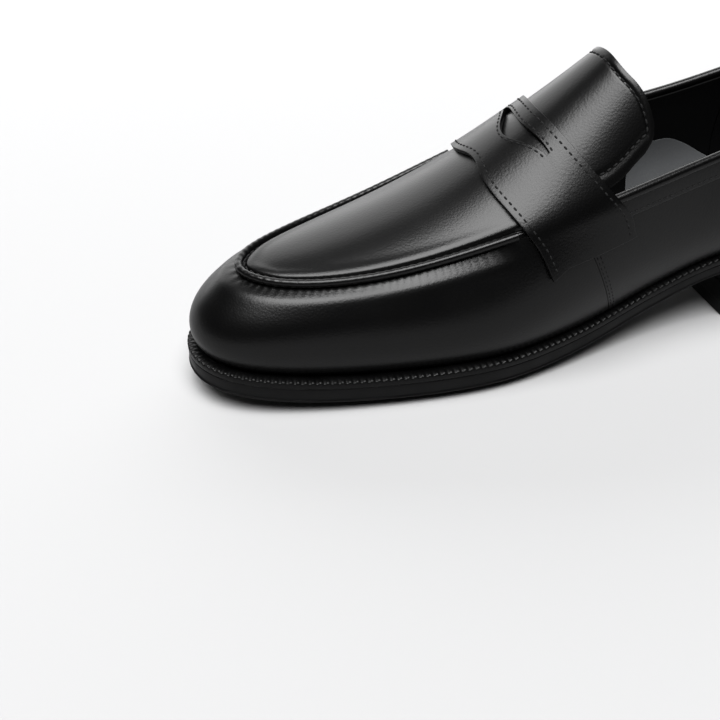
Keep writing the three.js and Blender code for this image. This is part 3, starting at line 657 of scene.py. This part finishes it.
def skirt():
    """The vamp's wall. Its top edge is gathered by the apron seam into small puckers."""
    us = np.linspace(SEAM_OUTER + SEAM_GAP, SEAM_INNER - SEAM_GAP, 900)
    vs = np.concatenate([np.linspace(0, 0.8, 26), np.linspace(0.8, 0.985, 18)[1:]])
    run = arc_length(us)

    def swell(u, v):
        phase = np.interp(u[:, 0], us, run)[:, None]
        drift = 0.9 * np.sin(phase / 9.1) + 0.6 * np.sin(phase / 4.3 + 1)
        x = np.interp(u[:, 0], us, wall(us, np.ones(us.shape))[:, 0])[:, None]
        front = np.clip((GATHER_END_X - x) / GATHER_FADE, 0, 1)
        near = np.clip((v - 0.80) / 0.185, 0, 1)
        pucker = 0.16 * near**1.6 * np.cos(2 * np.pi * (phase + drift) / PUCKER_PITCH)
        groove = -1.5 * np.clip((v - 0.785) / 0.2, 0, 1) ** 1.1
        pillow = 0.4 * np.exp(-(((v - 0.78) / 0.09) ** 2))
        slack = 0.08 * np.sin(phase / 17 + 5 * v) * np.sin(np.pi * v)
        return front * (pucker + groove + pillow) + slack

    wall_shell("vamp_wall", us, vs, 0.0, LEATHER, calf, swell, edge=0.3, surface=leaning_wall,
               replaces=["vamp_skirt"])


def quarters():
    """The two quarters, with a double row of stitches down each side seam."""
    for side, name, start, end in (
        (1, "lateral_quarter", SEAM_GAP, SEAM_OUTER - SEAM_GAP),
        (-1, "medial_quarter", SEAM_INNER + SEAM_GAP, 1 - SEAM_GAP),
    ):
        us = np.linspace(start, end, 200)
        vs = np.linspace(0, 0.99, 40)
        wall_shell(name + "_hide", us, vs, 0.0, LEATHER, calf, edge=0.3, surface=leaning_wall, replaces=[name])
        seam = SEAM_OUTER if side > 0 else SEAM_INNER
        v = np.linspace(0.04, 0.62, 60)
        for row, away in enumerate((0.0016, 0.0036)):
            u = np.full(v.shape, seam - side * away)
            n = normals(leaning_wall, u, v)
            stitch_row(f"{name}_seam_stitches_{row + 1}", leaning_wall(u, v) - n * 0.08, n, thread,
                       pitch=2.4, length=1.8, radius=0.24, lift=0.06)


def lap_row(name, u, v, above):
    """Fine stitches along a line that lies a little above the wall."""
    n = normals(wall, u, v)
    stitch_row(name, wall(u, v) + n * above, n, thread, pitch=2.7, length=2.0, radius=0.26, lift=0.12)


COLLAR = 9.0  # width of the collar band below the topline
COLLAR_END = 0.0115  # u where the bands meet the backstay, on either side of the back seam


def collar_v(us, below):
    """The v that lies a given way down the wall from its rim, measured in millimetres."""
    height = np.linalg.norm(wall(us, np.full(us.shape, 0.8)) - wall(us, np.full(us.shape, 1.0)), axis=-1)
    return 1 - 0.2 * below / height


def collar():
    """A turned collar band on each side: a thin strip over the quarter, stitched near its lower edge."""
    for name, start, end in (
        ("lateral_collar_band", COLLAR_END, float(rim_at(13, 1))),
        ("medial_collar_band", float(rim_at(13, -1)), 1 - COLLAR_END),
    ):
        us = np.linspace(start, end, 240)
        low = collar_v(us, COLLAR)
        t = np.linspace(0, 1, 12)
        v = low[:, None] + (0.995 - low[:, None]) * t[None, :]
        u = np.broadcast_to(us[:, None], v.shape)
        n = normals(wall, u, v)
        puff = 0.25 * np.sin(np.pi * t) ** 0.7
        outer = wall(u, v) + n * (0.55 + puff)[None, :, None]
        inner = wall(u, v) + n * 0.05
        shell(name + "_strip", outer, inner, grid_faces(*v.shape), calf, edge=0.25, replaces=[name])
        lap_row(name + "_stitches", us, collar_v(us, COLLAR - 1.6), 0.72)


def backstay():
    """The strip that covers the back seam, with a stitch row up each side."""
    half = 0.011
    us = np.linspace(-half, half, 16)
    vs = np.linspace(0.02, 0.985, 60)
    wall_shell("back_strip", us, vs, -1.0, 0.95, calf, edge=0.3, replaces=["backstay"])
    for side in (-1, 1):
        v = np.linspace(0.05, 0.97, 60)
        lap_row(f"back_strip_stitches_{side + 2}", np.full(v.shape, side * half * 0.72), v, 1.02)


def binding():
    """The folded top edge of the collar, from strap to strap round the heel."""
    us = np.linspace(float(rim_at(12.5, -1)), 1 + float(rim_at(12.5, 1)), 420)
    rim = rim_point(us)
    out = np.concatenate([outward(us), np.zeros((len(us), 1))], -1)
    path = rim - out * 0.9 + np.array([0, 0, -0.4])
    up = np.tile([0.0, 0.0, 1.0], (len(us), 1))
    section = [(2.0, -1.6), (2.15, -0.4), (1.9, 0.9), (1.1, 1.75), (0, 2.0), (-1.1, 1.75), (-1.9, 0.9),
               (-2.15, -0.4), (-2.0, -1.6), (0, -1.9)]
    points = sweep(path, up, section)
    piece = make(
        "collar_roll", points.reshape(-1, 3), tube_faces(len(us), len(section)), calf,
        replaces=["topline_binding"],
    )
    rounded(piece)


def rounded(piece):
    outward_faces(piece)
    smooth = piece.modifiers.new("smooth", "SUBSURF")
    smooth.levels = smooth.render_levels = 1


LINING_GAP = 0.0002
LINING_DEPTH = 3.3
LINING_THICKNESS = 0.9


def linings():
    """The lining: the forepart, a grey panel low on each side, a facing above each panel, and the heel grip."""
    front = {side: float(rim_at(PANEL_FROM_X, side)) for side in (1, -1)}
    rear = {side: float(rim_at(PANEL_TO_X, side)) for side in (1, -1)}

    def panel_top(u):
        return along(PANEL_TOP, rim_point(u)[:, 0])

    def forepart_top(u):
        return np.where(rim_point(u)[:, 0] > 0, 0.985, 0.93)

    above = lambda u: panel_top(u) + 0.004
    jobs = [
        ("vamp_lining", front[1], front[-1], level(0.03), forepart_top, lining, "lining_leather", 260),
        ("lateral_quarter_lining", rear[1], front[1], level(0.02), panel_top, sock, "sock_leather", 50),
        ("medial_quarter_lining", front[-1], rear[-1], level(0.02), panel_top, sock, "sock_leather", 50),
        ("lateral_collar_facing", rear[1], front[1], above, level(0.985), lining, "lining_leather", 50),
        ("medial_collar_facing", front[-1], rear[-1], above, level(0.985), lining, "lining_leather", 50),
        ("heel_grip", rear[-1], 1 + rear[1], level(0.02), level(0.985), lining, "lining_leather", 120),
    ]
    for name, start, end, low, high, material, slot, count in jobs:
        us = np.linspace(start + LINING_GAP, end - LINING_GAP, count)
        v = low(us)[:, None] + (high(us) - low(us))[:, None] * np.linspace(0, 1, 26)[None, :]
        u = np.broadcast_to(us[:, None], v.shape)
        n = normals(wall, u, v)
        outer = wall(u, v) - n * LINING_DEPTH
        inner = outer - n * LINING_THICKNESS
        shell(name + "_hide", outer, inner, grid_faces(*v.shape), material, edge=0.2, slot=slot,
              replaces=[name])


SOCK_THICKNESS = 1.4


def sock_low(x):
    """The sock's underside, which rises over the heel pad."""
    s = np.clip((x - 47) / 23, 0, 1)
    return welt_top(x) + 3.1 + 2.6 * s * s * (3 - 2 * s)


def sock_high(x):
    return sock_low(x) + SOCK_THICKNESS


def sock_liner():
    """The sock: a soft sheet over the insole, its edge turned up a little."""
    us = np.linspace(0, 1, 361)[:-1]
    margin = along(FEATHER_INSET, closed_spline(SOLE_OUTLINE, us)[:, 0]) + 4.9
    rings = []
    for inset, turned_up in ((0.0, 0.5), (0.6, 0.42), (2.0, 0.12), (5.0, 0.0), (9.0, 0.0)):
        plan = outline(us, margin + inset)
        rings.append(np.concatenate([plan, (sock_high(plan[:, 0]) + turned_up)[:, None]], -1))
    points = np.stack(rings, 1)
    rows, columns = points.shape[:2]
    verts = points.reshape(-1, 3).tolist()
    faces = grid_faces(rows, columns, wrap=True)
    faces += lid(verts, [i * columns + columns - 1 for i in range(rows)], sock_high)
    outer = np.array(verts)
    inner = outer.copy()
    inner[:, 2] = sock_low(outer[:, 0])
    shell("sock_sheet", outer, inner, faces, sock, edge=0.2, slot="sock_leather", replaces=["sock_liner"])


# ---------- apron, bead and their seam ----------
APRON_FAN = 13  # how far behind the rim's tip the point lies that the apron's lines fan out from
APRON_END = -3.5  # how far in front of the strap's back edge the apron ends, under the strap


def strap_front(q):
    return along(mirrored(STRAP_FRONT), q)


def strap_back(q):
    return along(mirrored(STRAP_BACK), q)


def apron_point(u, w):
    """From the rim (w = 0) to the apron's spine (w = 1); near the toe the lines fan out from one point."""
    rim = rim_point(u)
    behind = np.maximum(rim[..., 0] - TIP_X - APRON_FAN, 0)
    spine_x = TIP_X + APRON_FAN + np.sqrt(behind**2 + 1e-9)
    spine = top(spine_x, np.zeros(spine_x.shape))
    x = rim[..., 0] + (spine_x - rim[..., 0]) * w
    y = rim[..., 1] + (spine[..., 1] - rim[..., 1]) * w
    outer = rim_point(rim_at(x, 1))
    inner = rim_point(rim_at(x, -1))
    j = np.clip(2 * (y - inner[..., 1]) / np.maximum(outer[..., 1] - inner[..., 1], 1e-6) - 1, -1, 1)
    return np.stack([x, y, top_height(x, j, outer[..., 2], inner[..., 2])], -1), j


def apron():
    """The apron: its edge dips into the stitched groove beside the bead."""
    xs = TIP_X + (-3 - TIP_X) * np.linspace(0, 1, 260) ** 2
    us = np.concatenate([rim_at(xs[::-1], 1), rim_at(xs[1:], -1)])
    side = np.concatenate([np.linspace(0, 0.22, 22), np.linspace(0.22, 1, 34)[1:]])
    u, w = np.meshgrid(us, side, indexing="ij")
    points, j = apron_point(u, w)
    points[:, -1] = (points[:, -1] + points[::-1, -1]) / 2
    points[..., 0] = np.minimum(points[..., 0], strap_back(j) + APRON_END)
    points[..., 2] = top(points[..., 0], j)[..., 2]
    away = np.linalg.norm(points - points[:, :1], axis=-1)
    dip = -1.3 * np.exp(-(((away - 2.1) / 0.8) ** 2)) - 1.0 * np.clip(1 - away / 1.6, 0, 1)
    plump = 0.35 * np.exp(-(((away - 5.0) / 2.2) ** 2))
    n = unit(np.cross(np.gradient(points, axis=0), np.gradient(points, axis=1)))
    n = np.where(n[..., 2:] < 0, -n, n)
    n = unit(0.5 * n + 0.5 * np.array([0, 0, 1.0]))
    outer = points + n * (dip + plump)[..., None]
    inner = points - n * 1.9
    shell("apron_hide", outer, inner, grid_faces(*u.shape), calf, edge=0, replaces=["apron"])


SEAM_END_X = -27.0  # where the moccasin seam goes under the strap
PUCKER_PITCH = 3.3  # from one seam stitch to the next


def seam_frame():
    """Points along the moccasin seam, and the level direction outwards at each."""
    us = np.linspace(float(rim_at(SEAM_END_X, 1)), float(rim_at(SEAM_END_X, -1)), 900)
    d = rim_point(us + 0.001) - rim_point(us - 0.001)
    out = unit(np.stack([d[..., 1], -d[..., 0]], -1))
    return rim_point(us), np.concatenate([out, np.zeros((len(us), 1))], -1)


def bead():
    """The rolled edge of the apron: a half-round ridge that stands over the skirt's gathered edge."""
    rim, out = seam_frame()
    path = rim + np.array([0, 0, 0.1])
    up = unit(np.array([0, 0, 1.0]) + out * 0.35)
    run = np.concatenate([[0], np.cumsum(np.linalg.norm(np.diff(rim, axis=0), axis=1))])
    section = [(1.62, -0.9), (1.75, 0.1), (1.55, 0.95), (1.0, 1.6), (0.2, 1.85), (-0.65, 1.65), (-1.25, 1.05),
               (-1.5, 0.1), (-1.4, -0.9), (0, -1.3)]
    size = 1 + 0.025 * np.cos(2 * np.pi * run / PUCKER_PITCH)
    points = sweep(path, up, section, scale=size)
    piece = make("apron_roll", points.reshape(-1, 3), tube_faces(len(rim), len(section)), calf,
                 replaces=["apron_bead"])
    rounded(piece)


def seam_stitches():
    """The thick thread that gathers the skirt against the apron."""
    rim, out = seam_frame()
    path = rim - out * 2.15 + np.array([0, 0, 0.15])
    up = unit(np.array([0, 0, 1.0]) + out * 0.5)
    stitch_row("apron_seam_stitches", path, up, thread, pitch=PUCKER_PITCH, length=2.7, radius=0.42, lift=0.15,
               skew=0.18, replaces=["moc_seam_thread"])


# ---------- tongue ----------
HALF_TONGUE = 33  # half the tongue's width
STITCH_INSET = 3.1  # from the tongue's edge to its stitch row


def tongue_surface(s, t):
    root = strap_back(s * 0.93) - 2.2
    x = root + (along(mirrored(TONGUE_EDGE), s * 0.86) - root) * t
    return top(x, s * along(TONGUE_HALF, x))


def tongue():
    """The tongue: crowned, with a plump margin outside its stitch row."""
    s, t = np.meshgrid(np.linspace(-1, 1, 121), np.linspace(0, 1, 90), indexing="ij")
    p = tongue_surface(s, t)
    n = unit(np.cross(np.gradient(p, axis=0), np.gradient(p, axis=1)))
    n = np.where(n[..., 2:] < 0, -n, n)
    side = HALF_TONGUE * (1 - np.abs(s))
    end = np.linalg.norm(p - p[:, -1:], axis=-1)
    margin = np.minimum(side, end)
    groove = 0.45 * np.exp(-(((margin - STITCH_INSET) / 0.55) ** 2))
    swell = 0.15 * np.exp(-(((margin - 1.4) / 0.9) ** 2))
    outer = p + n * (0.1 + swell - groove)[..., None]
    inner = p - n * 1.5
    piece = shell("tongue_hide", outer, inner, grid_faces(*s.shape), calf, edge=0.5, body=None,
                  replaces=["tongue"])
    under = shell("tongue_lining_hide", (p - n * 1.6)[2:-2, :-2], (p - n * 2.5)[2:-2, :-2],
                  grid_faces(s.shape[0] - 4, s.shape[1] - 2), lining, edge=0.2, body=None,
                  slot="lining_leather", replaces=["tongue_lining"])
    rows = np.concatenate([
        np.stack([np.full(60, -1.0), np.linspace(0.0, 1, 60)], -1),
        np.stack([np.linspace(-1, 1, 90), np.full(90, 1.0)], -1)[1:],
        np.stack([np.full(60, 1.0), np.linspace(1, 0.0, 60)], -1)[1:],
    ])
    edge_s = rows[:, 0] * (1 - STITCH_INSET / HALF_TONGUE)
    ends = [tongue_surface(edge_s, np.full(len(edge_s), t)) for t in (1.0, 0.0)]
    length = np.linalg.norm(ends[0] - ends[1], axis=-1)
    edge_t = np.minimum(rows[:, 1], 1 - STITCH_INSET / length)
    line = tongue_surface(edge_s, edge_t)
    e = 0.01
    du = tongue_surface(edge_s + e, edge_t) - tongue_surface(edge_s - e, edge_t)
    dv = tongue_surface(edge_s, edge_t + e) - tongue_surface(edge_s, edge_t - e)
    up = unit(np.cross(du, dv))
    up = np.where(up[..., 2:] < 0, -up, up)
    seam = stitch_row("tongue_stitches", line - up * 0.2, up, thread, pitch=3.1, length=2.3, radius=0.44,
                      lift=0.1, body=None)
    for each in (piece, under, seam):
        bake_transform(each)


# ---------- strap ----------
def saddle(q, x, r):
    """The strap's surface: q from one sewn end (-2) to the other (2), x a place along the rim."""
    q, x, r = np.broadcast_arrays(np.asarray(q, float), np.asarray(x, float), np.asarray(r, float))
    side = np.where(q < 0, -1, 1)
    low = STRAP_END[0] + (STRAP_END[1] - STRAP_END[0]) * r
    a = np.abs(q)
    on_wall = wall(rim_at(x, side), 1 - np.maximum(a - 1, 0) * (1 - low))
    on_top = top(x, np.clip(q, -1, 1))
    return np.where((a > 1)[..., None], on_wall, on_top)


SLOT_R = 0.6  # the slot's place across the strap, from its front edge (0) to its back (1)
SLOT_POWER = 1.15
STRAP_THICKNESS = 2.0


def slot_edge(q, extreme):
    """One edge of the slot: at the extreme in the middle, and at the slot's tip at both ends."""
    return extreme + (SLOT_TIP_X - extreme) * np.minimum(np.abs(q) / SLOT_HALF, 1) ** SLOT_POWER


def strap_grid(qs, ts):
    """Front and back strips of the strap's middle surface: rows of q, columns across the strap."""
    q, t = np.meshgrid(qs, ts, indexing="ij")
    edges = (
        (strap_front(q), slot_edge(q, SLOT_FRONT_X), 0.0, SLOT_R),
        (slot_edge(q, SLOT_BACK_X), strap_back(q), SLOT_R, 1.0),
    )
    return [saddle(q, start + (end - start) * t, r0 + (r1 - r0) * t) for start, end, r0, r1 in edges]


def smooth_rows(points, qs, sigma=0.15):
    """Blurs a surface along q, so that it bends evenly where the top meets the wall."""
    ends = np.clip((2 - np.abs(qs)) / 0.25, 0.02, 1)
    weight = np.exp(-0.5 * ((qs[:, None] - qs[None, :]) / (sigma * ends[:, None])) ** 2)
    weight /= weight.sum(1, keepdims=True)
    return np.einsum("ab,bcd->acd", weight, points)


def strap():
    """The saddle strap, with its slot, in one sheet; it rides over the apron's bead on each side."""
    side = np.linspace(SLOT_HALF, 2, 90)
    qs = np.concatenate([np.linspace(-2, -SLOT_HALF, 90), np.linspace(-SLOT_HALF, SLOT_HALF, 81)[1:-1], side])
    ts = np.linspace(0, 1, 22)
    lift = 0.8 + 0.35 * np.exp(-(((np.abs(qs) - 1) / 0.2) ** 2))
    sheets = []
    for strip in strap_grid(qs, ts):
        p = smooth_rows(strip, qs)
        n = unit(np.cross(np.gradient(p, axis=0), np.gradient(p, axis=1)))
        n *= np.sign(n[len(qs) // 2, 10, 2])
        sheets.append((p, n))
    rows, columns = len(qs), len(ts)
    verts, inner = [], []
    index = [np.zeros((rows, columns), int), np.zeros((rows, columns), int)]
    for strip, (p, n) in enumerate(sheets):
        for i in range(rows):
            for k in range(columns):
                # past the slot's ends the two strips share their edge
                if strip == 1 and k == 0 and abs(qs[i]) >= SLOT_HALF - 1e-9:
                    index[1][i, 0] = index[0][i, columns - 1]
                    continue
                index[strip][i, k] = len(verts)
                verts.append(p[i, k] + n[i, k] * (lift[i] + STRAP_THICKNESS))
                inner.append(p[i, k] + n[i, k] * lift[i])
    faces = []
    for at in index:
        for i in range(rows - 1):
            for k in range(columns - 1):
                faces.append((int(at[i, k]), int(at[i + 1, k]), int(at[i + 1, k + 1]), int(at[i, k + 1])))
    shell("saddle_hide", verts, inner, faces, calf, edge=0.45, replaces=["saddle_strap"])
    # (name, strip, edge of the strip, inset from that edge, how far the row runs each way)
    jobs = (
        ("strap_front_stitches", 0, 0, 2.6, 1.93),
        ("strap_back_stitches", 1, 1, 2.6, 1.93),
        ("slot_front_stitches", 0, 1, 1.3, SLOT_HALF),
        ("slot_back_stitches", 1, 0, 1.3, SLOT_HALF),
    )
    for name, strip, edge, inset, reach in jobs:
        line, up = strap_line(*sheets[strip], edge, inset)
        path = line + up * (lift + STRAP_THICKNESS - 0.12)[:, None]
        kept = np.abs(qs) <= reach
        stitch_row(name, path[kept], up[kept], thread, pitch=2.9, length=2.1, radius=0.42, lift=0.05)


def strap_line(p, n, edge, inset):
    """A line along one strip of the strap, inset from its front (0) or back (1) edge, with its normals."""
    width = np.linalg.norm(p[:, -1] - p[:, 0], axis=-1)
    at = np.clip(inset / np.maximum(width, 1e-3), 0, 0.5)
    k = (at if edge == 0 else 1 - at) * (p.shape[1] - 1)
    low = np.clip(np.floor(k).astype(int), 0, p.shape[1] - 2)
    f = (k - low)[:, None]
    rows = np.arange(len(p))
    line = p[rows, low] * (1 - f) + p[rows, low + 1] * f
    return line, unit(n[rows, low] * (1 - f) + n[rows, low + 1] * f)


# ---------- camera, light and floor ----------
CAMERA_AZIMUTH = math.radians(-17.82)
CAMERA_ELEVATION = math.radians(37.43)
CAMERA_DISTANCE = 398.68
LENS_MM = 55.9855
CAMERA_TARGET = np.array([-100.22, -65.84, 40.0]) + SHIFT


def camera():
    data = bpy.data.cameras.new("camera")
    data.sensor_width = 36
    data.lens = LENS_MM
    data.clip_start = 0.01
    seen = bpy.data.objects.new("camera", data)
    bpy.context.collection.objects.link(seen)
    back = np.array([
        math.sin(CAMERA_AZIMUTH) * math.cos(CAMERA_ELEVATION),
        -math.cos(CAMERA_AZIMUTH) * math.cos(CAMERA_ELEVATION),
        math.sin(CAMERA_ELEVATION),
    ])
    seen.location = Vector((CAMERA_TARGET + back * CAMERA_DISTANCE) * MM)
    seen.rotation_euler = Vector(back).to_track_quat("Z", "Y").to_euler()
    bpy.context.scene.camera = seen


def light(name, kind, power, back):
    """A lamp that shines along minus back."""
    data = bpy.data.lights.new(name, kind)
    data.energy = power
    lamp = bpy.data.objects.new(name, data)
    bpy.context.collection.objects.link(lamp)
    lamp.rotation_euler = Vector(back).to_track_quat("Z", "Y").to_euler()
    return lamp


def studio():
    world = bpy.data.worlds.new("studio")
    bpy.context.scene.world = world
    world.use_nodes = True
    world.node_tree.nodes["Background"].inputs["Color"].default_value = (0.93, 0.93, 0.935, 1)
    # the open air past the floor looks as pale as the floor, and lights the shoe only faintly
    path = node(world.node_tree, "ShaderNodeLightPath")
    glow = node(
        world.node_tree, "ShaderNodeMath", {0: path.outputs["Is Camera Ray"], 1: 0.93, 2: 0.04},
        operation="MULTIPLY_ADD",
    )
    world.node_tree.links.new(glow.outputs[0], world.node_tree.nodes["Background"].inputs["Strength"])
    bpy.context.scene.view_settings.view_transform = "Standard"
    bpy.context.scene.view_settings.gamma = 0.82
    light("key", "SUN", 6.6, (-0.16, -0.24, 1.1)).data.angle = math.radians(50)
    backdrop = light("backdrop", "AREA", 62, (0.35, 1.7, 0))
    backdrop.location = (0.5, 1.7, 0.9)
    backdrop.data.shape = "RECTANGLE"
    backdrop.data.size = 4.2
    backdrop.data.size_y = 1.8
    mesh = bpy.data.meshes.new("floor")
    corners = [(-30, -30, 0), (30, -30, 0), (30, 30, 0), (-30, 30, 0)]
    mesh.from_pydata(corners, [], [(0, 1, 2, 3)])
    floor = bpy.data.objects.new("floor", mesh)
    bpy.context.collection.objects.link(floor)
    pale, _, bsdf = shader("pale_floor")
    bsdf.inputs["Base Color"].default_value = (0.39, 0.39, 0.3925, 1)
    bsdf.inputs["Roughness"].default_value = 0.9
    mesh.materials.append(pale)


def dress_inner_nodes():
    """The CAD pieces that stay in view or inside get their own stuff."""
    stuff = {
        "cork_filler": cork, "shank": steel, "insole_board": board, "heel_pad": foam,
        "toe_puff": felt, "heel_counter": felt, "apron_lining": lining,
    }
    stuff.update({f"heel_nail_{i}": steel for i in range(1, 6)})
    for name, material in stuff.items():
        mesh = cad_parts[name].data
        mesh.materials.clear()
        mesh.materials.append(material)


camera()
studio()
outsole()
welt()
heel()
skirt()
quarters()
collar()
backstay()
binding()
linings()
sock_liner()
apron()
bead()
seam_stitches()
tongue()
strap()
dress_inner_nodes()
